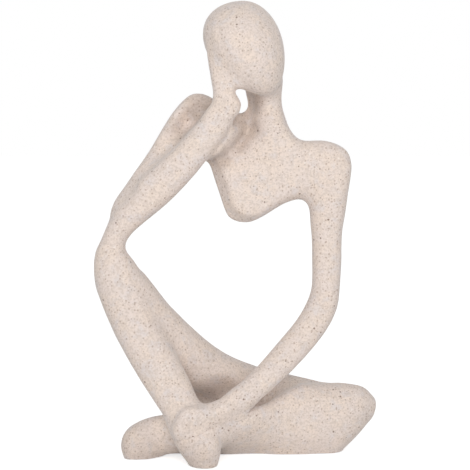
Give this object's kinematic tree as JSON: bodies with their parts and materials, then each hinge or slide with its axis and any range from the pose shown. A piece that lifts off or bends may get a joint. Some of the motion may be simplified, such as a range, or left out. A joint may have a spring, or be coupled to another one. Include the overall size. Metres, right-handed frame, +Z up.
{
  "type": "seated figure sculpture",
  "caption": "Seated cross-legged thinking figure with a smooth egg head resting on a raised hand and a wide opening framed by arms, chest and legs, in a stone effect.",
  "frame": {"origin": "middle of the figure's box, on the surface that its base pads stand on", "axes": "+Z up through the head, the figure looks along -Y, its right side lies at -X"},
  "size_m": [0.1595, 0.0835, 0.2544],
  "materials": {
    "cast_stone": "matte cream sandstone effect with fine grey, brown and dark specks",
    "dowel_steel": "plain drawn rod",
    "felt": "thin grey felt disc"
  },
  "bodies": {
    "root": {"head": "cast_stone", "neck": "cast_stone", "torso": "cast_stone", "right_upper_arm": "cast_stone", "right_forearm": "cast_stone", "left_upper_arm": "cast_stone", "left_forearm": "cast_stone", "raised_thigh": "cast_stone", "raised_shin": "cast_stone", "folded_thigh": "cast_stone", "folded_shin": "cast_stone", "dowels": "dowel_steel", "base_pads": "felt"}
  },
  "joints": []
}
